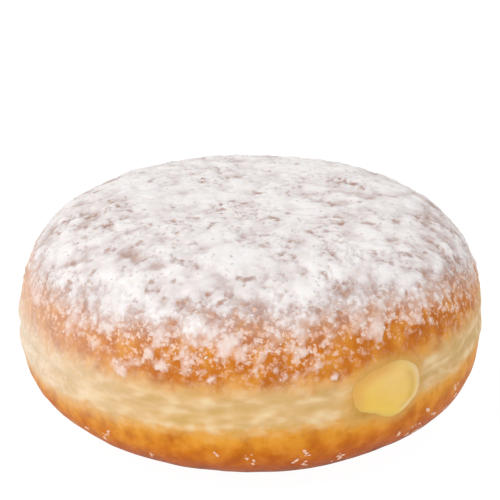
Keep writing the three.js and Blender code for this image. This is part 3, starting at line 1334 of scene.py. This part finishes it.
@dataclass
class CustardFilling:
    """The custard: a pool in the middle, the nozzle's neck, and a face that bulges out of the mouth."""

    form: Form
    pool_half_length: float = 20.0
    pool_half_width: float = 19.0
    pool_half_height: float = 6.4
    pool_roundness: float = 2.4
    pool_height: float = 20.0
    neck_half_width: float = 4.8
    neck_half_height: float = 4.0
    flare_from: float = 33.0
    flare_to: float = 43.0
    segments: int = 112
    rings: int = 110
    # Shares of the ball's height, from its lower pole, at which the side, its lip and the lip's edge end.
    side_end: float = 0.66
    lip_end: float = 0.69
    edge_end: float = 0.72
    # The face spreads over the rim of the mouth by this much, and stands out this far at its edge. Its lip
    # starts this deep in the dough, and turns outwards at this depth.
    smear: float = 0.5
    smear_thickness: float = 0.06
    sunk: float = 0.5
    tucked: float = 0.12
    # On the left the edge is ragged, where the custard tore off: how far, over what length, in which
    # direction, and the cosines of the angle off that at which this starts and is full.
    rag: float = 0.4
    rag_size: float = 1.2
    rag_turn: float = math.radians(180.0)
    rag_span: Pair = (0.4, 0.9)
    # How far the face bulges, its ripples, and how close to the edge each of these ends.
    bulge: float = 0.7
    bulge_power: float = 2.5
    ripple: float = 0.12
    ripple_size: float = 3.2
    ripple_power: int = 8
    # The last custard to come out lies folded along the right-hand side: where, as shares of the face's
    # radius, with how soft an edge, and the cosines at which this starts and is full.
    fold_from: float = 0.85
    fold_blur: float = 0.08
    fold_turn: float = math.radians(-8.0)
    fold_span: Pair = (0.55, 0.85)
    fold_height: float = 0.04
    groove_at: float = 0.74
    groove_width: float = 0.1
    groove_depth: float = 0.03
    # How light the custard is in the middle of its face, how much lighter on one side, and on which: painted
    # light on the face.
    light: float = 0.35
    painted_light_gain: float = 0.75
    painted_light_turn: float = math.radians(60.0)
    # How strongly the painted light along the fold, the painted shade in the groove, and the colours of the
    # olive and browned edges show, how far out the edges start, and the cosines at which they start and are
    # full.
    painted_fold_light: float = 0.8
    groove_shade: float = 0.55
    edge_olive: float = 0.4
    edge_olive_from: float = 0.72
    edge_olive_span: Pair = (0.75, 0.2)
    browned_tint: float = 0.8
    browned_from: float = 0.5
    browned_turn: float = math.radians(135.0)
    browned_span: Pair = (0.1, 0.8)
    # The cutter of the hollow is a ball too: where its side ends, and the share that its flat end takes.
    cutter_side_end: float = 0.9
    cutter_end_share: float = 0.1

    @property
    def _outward(self) -> Array:
        """Direction from the body's axis to the mouth."""
        return np.array([math.cos(self.form.mouth.azimuth), math.sin(self.form.mouth.azimuth), 0.0])

    @property
    def _sideways(self) -> Array:
        """Level direction across the mouth, to its right seen from outside."""
        return np.array([-math.sin(self.form.mouth.azimuth), math.cos(self.form.mouth.azimuth), 0.0])

    @property
    def _body_radius(self) -> float:
        """Radius of the body at the mouth."""
        skin = self.form.skin
        return skin.radius * (1.0 + skin.oval * math.cos(2.0 * self.form.mouth.azimuth))

    def _half_size(self, along: Array, angle: Array, gap: float) -> Array:
        """Measures the custard's half size.

        Args:
            along: how far from the body's axis towards the mouth.
            angle: the direction off the custard's own axis.
            gap: how much larger to make it.

        Returns:
            One half size a place.
        """

        def ellipse(across: float, up: float) -> Array:
            """Radius of an ellipse at the same angles."""
            return 1.0 / np.hypot(np.cos(angle) / across, np.sin(angle) / up)

        end = np.minimum(np.abs(along) / (self.pool_half_length + gap), 1.0)
        pool = (1.0 - end**self.pool_roundness) ** (1.0 / self.pool_roundness)
        in_pool = pool * ellipse(self.pool_half_width + gap, self.pool_half_height + gap)
        flare = smoothstep(along, self.flare_from, self.flare_to)
        tube = ellipse(self.neck_half_width, self.neck_half_height)
        neck = lerp(tube, self.form.mouth.rim(angle), flare) + gap
        return np.hypot(in_pool, neck * smoothstep(along, -self.pool_half_length, 0.0))

    def _inside(self, along: Array, radius: Array, angle: Array) -> Array:
        """Places points round the custard's axis, in sections that bend to the body's round near the mouth.

        Args:
            along: how far from the body's axis towards the mouth each one lies.
            radius: how far off the custard's own axis.
            angle: in which direction off it.

        Returns:
            One row a point.
        """
        across = radius * np.cos(angle)
        outer = self._body_radius
        bend = outer - np.sqrt(outer**2 - across**2)
        reach = along - bend * smoothstep(along, self.flare_from, outer)
        level = smoothstep(along, self.pool_half_length, self.flare_from)
        points = reach[:, None] * self._outward + across[:, None] * self._sideways
        points[:, 2] = lerp(self.pool_height, self.form.mouth.height, level) + radius * np.sin(angle)
        return points

    def _on_side(self, radius: Array, angle: Array, offset: Array) -> Array:
        """Places points on the body's finished side, or off it.

        Args:
            radius: how far from the middle of the mouth each one lies.
            angle: in which direction from there.
            offset: how far outside the finished side.

        Returns:
            One row a point.
        """
        turn = np.arcsin(radius * np.cos(angle) / self._body_radius)
        azimuth = self.form.mouth.azimuth + turn
        height = self.form.mouth.height + radius * np.sin(angle)
        out = self.form.side(azimuth, height) + offset
        return np.stack([out * np.cos(azimuth), out * np.sin(azimuth), height], axis=1)

    def _ball(self, name: str) -> tuple[Piece, Array, Array]:
        """Starts from a ball.

        Args:
            name: what to call it.

        Returns:
            The ball, and for each vertex its share of the way up and its angle round.
        """
        nothing_selected()
        bpy.ops.mesh.primitive_uv_sphere_add(segments=self.segments, ring_count=self.rings, radius=1.0)
        piece = bpy.context.object
        piece.name = piece.data.name = name
        ball = vertices_of(piece)
        climb = 1.0 - np.arccos(np.clip(ball[:, 2], -1.0, 1.0)) / math.pi
        return piece, climb, np.arctan2(ball[:, 1], ball[:, 0])

    def model(self) -> Piece:
        """Models the custard from a ball, whose top becomes the face in the mouth.

        Returns:
            The custard in metres, with the fields that its finish reads.
        """
        piece, climb, angle = self._ball("custard_filling")
        side = np.clip(climb / self.side_end, 0.0, 1.0)
        along = lerp(-self.pool_half_length, self._body_radius, side)
        radius = self._half_size(along, angle, 0.0)
        inside = self._inside(along, radius, angle)
        at_rim = self._on_side(radius, angle, np.full_like(radius, -self.sunk))
        blend = smoothstep(along, self.flare_to, self._body_radius)[:, None]
        share = np.clip((1.0 - climb) / (1.0 - self.edge_end), 0.0, 1.0)
        face = self._face(climb, share, angle)
        points = np.where((climb > self.side_end)[:, None], face, lerp(inside, at_rim, blend))
        set_vertices(piece, (points + self.form.axis_shift) * METRES)
        self._store(piece, share, angle)
        return piece

    def _face(self, climb: Array, share: Array, angle: Array) -> Array:
        """Places points of the face: out under its own edge, round the edge, and in over the dome.

        Args:
            climb: each vertex's share of the way up the ball.
            share: its share of the way out on the dome.
            angle: its angle round.

        Returns:
            One row a point.
        """
        mouth = self.form.mouth
        rim = mouth.rim(angle)
        ring = np.stack([np.cos(angle), np.sin(angle), np.zeros_like(angle)], axis=1)
        torn = smoothstep(np.cos(angle - self.rag_turn), *self.rag_span)
        spread = self.smear + self.rag * torn * noise(ring * mouth.radius, self.rag_size, Pattern.TORN_EDGE)
        out = smoothstep(climb, self.side_end, self.lip_end)
        lift = smoothstep(climb, self.lip_end, self.edge_end)
        on_dome = climb > self.edge_end
        radius = np.where(on_dome, share * (rim + spread), rim + spread * out)
        fold, groove = self._fold(share, angle)
        ripples = self.ripple * noise(ring * radius[:, None], self.ripple_size, Pattern.RIPPLES)
        rough = ripples + self.fold_height * fold - self.groove_depth * groove
        dome = self.bulge * (1.0 - share**self.bulge_power) + rough * (1.0 - share**self.ripple_power)
        level = np.where(
            climb < self.lip_end,
            lerp(-self.sunk, -self.tucked, out),
            lerp(-self.tucked, self.smear_thickness, lift) + np.where(on_dome, dome, 0.0),
        )
        return self._on_side(radius, angle, level)

    def _fold(self, share: Array, angle: Array) -> tuple[Array, Array]:
        """Marks the fold along the right-hand side of the face, and the groove inside it.

        Args:
            share: each vertex's share of the way out on the dome.
            angle: its angle round.

        Returns:
            The fold, and the groove, each from 0 to 1.
        """
        beside = smoothstep(np.cos(angle - self.fold_turn), *self.fold_span)
        fold = smoothstep(share, self.fold_from - self.fold_blur, self.fold_from + self.fold_blur)
        groove = np.exp(-(((share - self.groove_at) / self.groove_width) ** 2))
        return beside * fold, beside * groove

    def _store(self, piece: Piece, share: Array, angle: Array) -> None:
        """Stores the fields that the finish reads.

        Args:
            piece: the custard.
            share: each vertex's share of the way out on the dome.
            angle: its angle round.
        """
        fold, groove = self._fold(share, angle)
        light = self.light + self.painted_light_gain * share * np.cos(angle - self.painted_light_turn)
        off_fold = smoothstep(np.cos(angle - self.fold_turn), *self.edge_olive_span)
        # Darker olive towards the edge of the face, except towards the fold.
        olive_edge = self.edge_olive * smoothstep(share, self.edge_olive_from, 1.0) * off_fold
        at_brown = smoothstep(np.cos(angle - self.browned_turn), *self.browned_span)
        browned = smoothstep(share, self.browned_from, 1.0) * at_brown
        # Painted light across the face.
        set_field(piece, "light", np.clip(light, 0.0, 1.0))
        # Painted light along the fold, and painted shade in its groove with olive towards the edge.
        set_field(piece, "fold", self.painted_fold_light * fold)
        set_field(piece, "groove", np.clip(self.groove_shade * groove + olive_edge, 0.0, 1.0))
        set_field(piece, "browned", self.browned_tint * browned)

    def cutter(self, gap: float, reach: float) -> Piece:
        """Models the hollow for the custard.

        Args:
            gap: how much wider than the custard it is all round.
            reach: how far past the body's side it runs.

        Returns:
            The cutter, in metres.
        """
        piece, climb, angle = self._ball("hollow_cutter")
        side = np.clip(climb / self.cutter_side_end, 0.0, 1.0)
        along = lerp(-(self.pool_half_length + gap), self._body_radius + reach, side)
        share = np.clip((1.0 - climb) / self.cutter_end_share, 0.0, 1.0)
        points = self._inside(along, share * self._half_size(along, angle, gap), angle)
        set_vertices(piece, (points + self.form.axis_shift) * METRES)
        return piece

    def dress(self, piece: Piece) -> None:
        """Gives the custard its finish."""
        finish_piece(piece, Custard().material())
        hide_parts("filling")


@dataclass
class CrustFields:
    """Numbers on a piece's vertices that say how its crust looks."""

    form: Form
    # How strong the painted light on the left side, towards the lamp, is at the far left, from what share of
    # the radius and how steeply it grows to that, and how much of it is left above the belt.
    film: float = 0.85
    left_light_from: float = 0.25
    left_light_power: float = 1.6
    left_light_on_crust: float = 0.78
    # How far below and above the belt's lower edge the painted light starts and is full, and over what
    # height above the belt it gets weaker.
    left_light_below: float = 5.0
    left_light_above: float = 3.0
    left_light_fade: float = 3.0
    # How strongly painted shade darkens the belt's crease: in the mean, by how much and over what length that
    # sways, and at most.
    crease: float = 0.25
    crease_sway: float = 0.7
    crease_size: float = 6.0
    crease_most: float = 0.7

    def store(self, piece: Piece, smooth: Array, down: Array) -> None:
        """Stores them.

        Args:
            piece: the piece.
            smooth: where its vertices lie on the smooth skin.
            down: how far down the skin each one lies.
        """
        belt, skin, coat = self.form.belt, self.form.skin, self.form.coat
        level = belt.height(smooth, skin)
        left = -smooth[:, 0] / skin.radius
        beside = np.clip((left - self.left_light_from) / (1.0 - self.left_light_from), 0.0, 1.0)
        above = smoothstep(level, belt.low - self.left_light_below, belt.low + self.left_light_above)
        fading_above_belt = lerp(1.0, self.left_light_on_crust, smoothstep(level, belt.high, belt.high + self.left_light_fade))
        fields = {
            "rise": level - belt.low,
            "crease": self._crease_shade(smooth),
            "mouth": self.form.mouth.soaked(smooth, skin),
            "film": self.film * beside**self.left_light_power * above * fading_above_belt,
            "dust": coat.dust(smooth, down),
            "flecks": coat.flecks(smooth, down),
        }
        for name, values in fields.items():
            set_field(piece, name, values)

    def _crease_shade(self, smooth: Array) -> Array:
        """Says how strongly painted shade darkens the belt's crease.

        Args:
            smooth: places on the smooth skin, one row a point.

        Returns:
            One strength a point.
        """
        belt, skin = self.form.belt, self.form.skin
        sway = self.crease_sway * noise(smooth, self.crease_size, Pattern.CREASE_STRENGTH)
        strength = np.clip(self.crease + sway, 0.0, self.crease_most)
        return belt.inside(smooth, skin) * strength * belt.crease(smooth, skin) ** 2


@dataclass
class FriedBody:
    """The fried dough, and the hollow in it that holds the custard."""

    form: Form
    filling: CustardFilling
    cuts: tuple[int, ...] = (4, 23)
    # Over 1 the mesh is denser towards the top.
    crown_density: float = 1.05
    # The hollow is wider than the custard by this much, and its cutter runs this far past the side.
    gap: float = 0.1
    reach: float = 6.0
    # Edges sharper than this stay sharp in the shading.
    smooth_angle: float = math.radians(65.0)

    def model(self) -> Piece:
        """Models the dough.

        Returns:
            The dough in metres, with the fields that its finish reads.
        """
        piece = round_cube("dough_crust", self.cuts)
        direction = vertices_of(piece)
        polar = np.arccos(np.clip(direction[:, 2], -1.0, 1.0))
        down = self.form.skin.length * (polar / math.pi) ** self.crown_density
        azimuth = np.arctan2(direction[:, 1], direction[:, 0])
        points, _ = self.form.surface(down, azimuth)
        set_vertices(piece, points * METRES)
        CrustFields(self.form).store(piece, self.form.skin.points(down, azimuth), down)
        self._hollow(piece)
        return piece

    def _hollow(self, piece: Piece) -> None:
        """Cuts the hollow for the custard.

        Args:
            piece: the dough.
        """
        cutter = self.filling.cutter(self.gap, self.reach)
        only_selected(piece)
        cut = piece.modifiers.new("hollow", "BOOLEAN")
        cut.operation = "DIFFERENCE"
        cut.object = cutter
        cut.solver = "EXACT"
        bpy.ops.object.modifier_apply(modifier=cut.name)
        bpy.data.objects.remove(cutter)

    def dress(self, piece: Piece) -> None:
        """Gives the dough its finish.

        Args:
            piece: the dough.
        """
        finish_piece(piece, FriedDough().material())
        bpy.ops.object.shade_smooth_by_angle(angle=self.smooth_angle)
        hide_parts("dough")


@dataclass
class SugarBlanket:
    """The sifted sugar as one thin shell, which dips under the crust wherever there is none."""

    form: Form
    # Squares along each side of the sheet that it starts as, how far down the skin it reaches, how deep its
    # hem lies in the dough, from what share of the way out, and where its underside meets, inside the dough.
    squares: int = 304
    reach: float = 54.5
    hem: float = 0.6
    hem_from: float = 0.999
    inner_height: float = 36.0

    def model(self) -> Piece:
        """Models the coat from a square sheet, whose edge is drawn together to a point below it.

        Returns:
            The coat in metres, with the fields that its finish reads.
        """
        nothing_selected()
        bpy.ops.mesh.primitive_grid_add(x_subdivisions=self.squares, y_subdivisions=self.squares, size=2.0)
        piece = bpy.context.object
        piece.name = piece.data.name = "sugar_coat"
        bpy.ops.object.mode_set(mode="EDIT")
        bpy.ops.mesh.select_mode(type="EDGE")
        bpy.ops.mesh.select_all(action="DESELECT")
        bpy.ops.mesh.select_non_manifold()
        drop = 1.0
        bpy.ops.mesh.extrude_edges_move(TRANSFORM_OT_translate={"value": (0.0, 0.0, -drop)})
        bpy.ops.mesh.merge(type="CENTER")
        bpy.ops.mesh.select_mode(type="VERT")
        bpy.ops.object.mode_set(mode="OBJECT")
        sheet = vertices_of(piece)
        share, azimuth = self._round(sheet[:, 0], sheet[:, 1])
        down = self.reach * share
        depth = self.form.sugar_depth(down, azimuth)
        thickness = np.where(share > self.hem_from, -self.hem, self.form.coat.relief(depth))
        points, _ = self.form.surface(down, azimuth, thickness)
        points[sheet[:, 2] < -drop / 2.0] = (0.0, 0.0, self.inner_height)
        set_vertices(piece, points * METRES)
        CrustFields(self.form).store(piece, self.form.skin.points(down, azimuth), down)
        set_field(piece, "depth", depth)
        return piece

    def _round(self, across: Array, along: Array) -> tuple[Array, Array]:
        """Turns the square sheet into a round one.

        Args:
            across: one coordinate of each point, from -1 to 1.
            along: the other.

        Returns:
            Its share of the way out, and its angle in radians.
        """
        share = np.maximum(np.abs(across), np.abs(along))
        upright = np.abs(along) > np.abs(across)
        longer = np.where(upright, along, across)
        ratio = np.where(upright, across, along) / np.where(share > 0.0, longer, 1.0)
        quarter = math.pi / 4.0
        azimuth = np.where(upright, 2.0 * quarter - quarter * ratio, quarter * ratio)
        return share, azimuth + np.where(longer < 0.0, math.pi, 0.0)

    def dress(self, piece: Piece) -> None:
        """Gives the coat its finish."""
        finish_piece(piece, IcingSugar().material())


class CrumbKind(Enum):
    """Sizes and places of loose sugar."""

    GRAIN = "sugar_grains"
    STRAY = "stray_sugar"


@dataclass(frozen=True)
class CrumbPlan:
    """How one kind of loose sugar is scattered."""

    count: int
    # Radius of the smallest and the largest.
    small: float
    large: float
    # How thickly they lie, by distance down the skin.
    density: tuple[Pair, ...]
    # From which depth of the coat they lie, and where they are at their thickest.
    coat: Pair
    # How much lower than wide they are, how uneven, and how far they are sunk, as a share of their height.
    flatness: float
    roughness: float
    sunk: float
    # How dry the sugar is, from soaked through to white.
    dry: Pair
    # How many lie together, and how far apart these are at most.
    cluster: int = 1
    spread: float = 0.0
    cuts: tuple[int, ...] = (1,)


CRUMB_PLANS = {
    CrumbKind.GRAIN: CrumbPlan(
        count=1500,
        small=0.1,
        large=0.3,
        density=((0.0, 0.4), (30.0, 0.8), (44.0, 1.0), (52.0, 0.4)),
        coat=(-0.3, 0.7),
        flatness=0.4,
        roughness=0.4,
        sunk=0.5,
        dry=(0.3, 0.8),
    ),
    CrumbKind.STRAY: CrumbPlan(
        count=200,
        small=0.15,
        large=0.5,
        density=((61.0, 0.0), (64.5, 0.4), (68.0, 1.0), (72.0, 0.0)),
        coat=(-99.0, -98.0),
        flatness=0.3,
        roughness=0.6,
        sunk=0.5,
        dry=(-0.4, 0.15),
        cluster=4,
        spread=1.5,
    ),
}


@dataclass
class SugarScatter:
    """Loose lumps of sugar on the coat or low on the crust, joined into one mesh for each kind."""

    form: Form
    kind: CrumbKind
    # How many places are drawn for each one that is needed, and how far from the mouth they have to lie.
    spare: int = 8
    clear: float = 1.4
    # Seed of all that is drawn for a lump but its place.
    seed: float = 7.0
    # How long the lumps are for their mean width. They are turned from +Z, and on crust more level than this
    # from +X.
    stretch: Pair = (0.8, 1.35)
    level: float = 0.9
    # Their noise: how far apart lie the parts that two lumps take of it, and how large a part that is.
    apart: float = 13.0
    part: float = 1.1
    # How far a mound reaches down from its middle, as a share of its height, and the heights on the ball at
    # which it is damp and dry.
    foot: float = 0.1
    damp: Pair = (-1.2, 0.5)

    @property
    def plan(self) -> CrumbPlan:
        """How this kind is scattered."""
        return CRUMB_PLANS[self.kind]

    def _places(self) -> tuple[Array, Array]:
        """Picks where lumps lie: by their density down the skin, and where the coat lets them.

        Returns:
            How far down the skin each one lies, and its angle round the body in radians.
        """
        plan, skin = self.plan, self.form.skin
        seed = 100.0 * (list(CrumbKind).index(self.kind) + 1)
        index = np.arange(plan.count * self.spare, dtype=float)
        distances, weights = zip(*plan.density)
        density = np.interp(skin.down[1:], distances, weights, 0.0, 0.0)
        table = np.cumsum(skin.out[1:] * np.diff(skin.down) * density)
        group = np.floor(index / plan.cluster)
        share = hashed(group, Draw.DOWN, seed) * table[-1]
        lower = plan.spread * (hashed(index, Draw.OFF_DOWN, seed) - 0.5)
        down = np.interp(share, table, skin.down[1:]) + lower
        aside = plan.spread / skin.radius * (hashed(index, Draw.OFF_ROUND, seed) - 0.5)
        azimuth = 2.0 * math.pi * hashed(group, Draw.ROUND, seed) + aside
        wish = smoothstep(self.form.sugar_depth(down, azimuth), *plan.coat)
        clear = self.form.mouth.beyond(skin.points(down, azimuth), skin) > self.clear
        kept = np.flatnonzero((hashed(index, Draw.KEPT, seed) < wish) & clear)[: plan.count]
        return down[kept], azimuth[kept]

    def _mounds(self, shape: Array, down: Array, azimuth: Array) -> Array:
        """Shapes and places the lumps.

        Args:
            shape: the vertices of a ball, one row each.
            down: how far down the skin each lump lies.
            azimuth: its angle round the body, in radians.

        Returns:
            For each lump, one row a vertex.
        """
        plan, count = self.plan, len(down)
        index = np.arange(count, dtype=float)
        size = lerp(plan.small, plan.large, hashed(index, Draw.SIZE, self.seed) ** 2)
        coat = np.maximum(self.form.coat.relief(self.form.sugar_depth(down, azimuth)), 0.0)
        base, normals = self.form.surface(down, azimuth, coat + (0.5 - plan.sunk) * plan.flatness * size)
        spin = 2.0 * math.pi * hashed(index, Draw.SPIN, self.seed)
        stretch = lerp(*self.stretch, hashed(index, Draw.STRETCH, self.seed))
        on_level = np.abs(normals[:, 2:]) > self.level
        reference = np.where(on_level, [[1.0, 0.0, 0.0]], [[0.0, 0.0, 1.0]])
        first = unit(np.cross(reference, normals))
        second = np.cross(normals, first)
        one = np.cos(spin)[:, None] * first + np.sin(spin)[:, None] * second
        two = np.cos(spin)[:, None] * second - np.sin(spin)[:, None] * first
        own = np.repeat(index, len(shape))[:, None] * self.apart + np.tile(shape, (count, 1)) * self.part
        uneven = noise(own, 1.0, Pattern.LUMPS).reshape(count, -1)
        local = shape[None] * (1.0 + plan.roughness * uneven)[:, :, None] * size[:, None, None]
        local = local * np.stack([stretch, 1.0 / stretch, np.full(count, plan.flatness)], axis=1)[:, None]
        # They are mounds: widest at the foot, with next to nothing below it.
        local[:, :, 2] = np.maximum(local[:, :, 2], -self.foot * plan.flatness * size[:, None])
        return (
            base[:, None]
            + local[:, :, :1] * one[:, None]
            + local[:, :, 1:2] * two[:, None]
            + local[:, :, 2:] * normals[:, None]
        )

    def model(self) -> Piece:
        """Models one lump and copies it to every place, each copy with its own shape.

        Returns:
            The lumps as one piece in metres, with the fields that their finish reads.
        """
        lump = round_cube(self.kind.value, self.plan.cuts)
        shape = vertices_of(lump)
        faces = np.array([list(face.vertices) for face in lump.data.polygons])
        down, azimuth = self._places()
        count = len(down)
        points = self._mounds(shape, down, azimuth)
        all_faces = (faces[None] + (np.arange(count) * len(shape))[:, None, None]).reshape(-1, faces.shape[1])
        mesh = bpy.data.meshes.new(self.kind.value)
        mesh.from_pydata((points.reshape(-1, 3) * METRES).tolist(), [], all_faces.tolist())
        old = lump.data
        lump.data = mesh
        bpy.data.meshes.remove(old)
        lump.name = mesh.name = self.kind.value
        dry = lerp(*self.plan.dry, hashed(np.arange(count, dtype=float), Draw.DRY, self.seed))[:, None]
        # Dry lumps are damp at their foot; soaked ones are soaked all through.
        dry = np.minimum(dry, dry * smoothstep(shape[None, :, 2], *self.damp))
        set_field(lump, "dry", dry.ravel())
        dust = self.form.coat.dust(self.form.skin.points(down, azimuth), down)
        set_field(lump, "dust", np.repeat(dust, len(shape)))
        return lump

    def dress(self, piece: Piece, material: Material) -> None:
        """Gives the lumps their finish, which both kinds share."""
        finish_piece(piece, material)


# --------------------------------------------------------------------------------------------------
# Studio


@dataclass
class Studio:
    """A light table, soft light and the camera."""

    form: Form
    # Width of the table's top, in metres, and how strongly it glows.
    floor_size: float = 6.0
    floor_glow: float = 0.97
    distance: float = 356.0
    elevation: float = math.radians(25.9)
    focal_pixels: float = 1809.0
    image_pixels: float = 500.0
    sensor_width: float = 36.0
    # Where the middle of the body's widest level falls in the image, in pixels from its top left corner.
    target_pixel: Pair = (250.5, 309.25)
    world_strength: float = 0.7
    # The soft light: its power in watts, its width, and where it hangs and points, in metres.
    key_power: float = 5.4
    key_size: float = 0.8
    key_place: tuple[float, float, float] = (-0.55, -0.65, 0.9)
    key_aim: tuple[float, float, float] = (0.0, 0.0, 0.02)

    def lay_floor(self) -> None:
        """Lays the milky top of a light table, lit from below so that hardly any shadow shows on it."""
        nothing_selected()
        bpy.ops.mesh.primitive_plane_add(size=self.floor_size)
        floor = bpy.context.object
        floor.name = "light_table"
        material, tree = new_material("milky_acrylic")
        shader = add_node(
            tree,
            "BsdfPrincipled",
            {
                "Base Color": linear("#484848"),
                "Roughness": 0.9,
                "Emission Color": (1.0, 1.0, 1.0, 1.0),
                "Emission Strength": self.floor_glow,
            },
        )
        add_node(tree, "OutputMaterial", {}, {"Surface": shader})
        floor.data.materials.append(material)

    def light(self) -> None:
        """Fills the room with even white light and adds one large soft light from the upper left."""
        world = bpy.data.worlds.new("studio_air")
        world.use_nodes = True
        background = world.node_tree.nodes["Background"]
        background.inputs["Color"].default_value = (1.0, 1.0, 1.0, 1.0)
        background.inputs["Strength"].default_value = self.world_strength
        bpy.context.scene.world = world
        nothing_selected()
        place = Vector(self.key_place)
        bpy.ops.object.light_add(type="AREA", location=place)
        key = bpy.context.object
        key.name = "softbox"
        key.rotation_euler = (Vector(self.key_aim) - place).to_track_quat("-Z", "Y").to_euler()
        key.data.shape = "DISK"
        key.data.size = self.key_size
        key.data.energy = self.key_power

    def place_camera(self) -> None:
        """Sets the camera by its distance, elevation and focal length."""
        centre = Vector(self.form.axis_shift) * METRES
        centre.z = self.form.skin.equator_height * METRES
        back = Vector((0.0, -math.cos(self.elevation), math.sin(self.elevation)))
        up = Vector((0.0, math.sin(self.elevation), math.cos(self.elevation)))
        aside = (self.image_pixels / 2.0 - self.target_pixel[0]) / self.focal_pixels
        above = (self.target_pixel[1] - self.image_pixels / 2.0) / self.focal_pixels
        look = -back + up * above + Vector((1.0, 0.0, 0.0)) * aside
        bpy.ops.object.camera_add(
            location=centre + back * self.distance * METRES, rotation=look.to_track_quat("-Z", "Y").to_euler()
        )
        camera = bpy.context.object
        camera.name = "camera"
        camera.data.sensor_width = self.sensor_width
        camera.data.lens = self.focal_pixels / self.image_pixels * self.sensor_width
        camera.data.clip_start = 0.02
        bpy.context.scene.camera = camera
        bpy.context.scene.view_settings.view_transform = "Standard"


def main() -> None:
    """Builds the doughnut, its sugar and the studio."""
    logging.basicConfig(level=logging.INFO, format="%(name)s: %(message)s")
    form = Form()
    filling = CustardFilling(form)
    dough = FriedBody(form, filling)
    dough.dress(dough.model())
    filling.dress(filling.model())
    blanket = SugarBlanket(form)
    blanket.dress(blanket.model())
    caked = CakedSugar().material()
    for kind in CrumbKind:
        scatter = SugarScatter(form, kind)
        scatter.dress(scatter.model(), caked)
    studio = Studio(form)
    studio.lay_floor()
    studio.light()
    studio.place_camera()


if __name__ == "__main__":
    main()
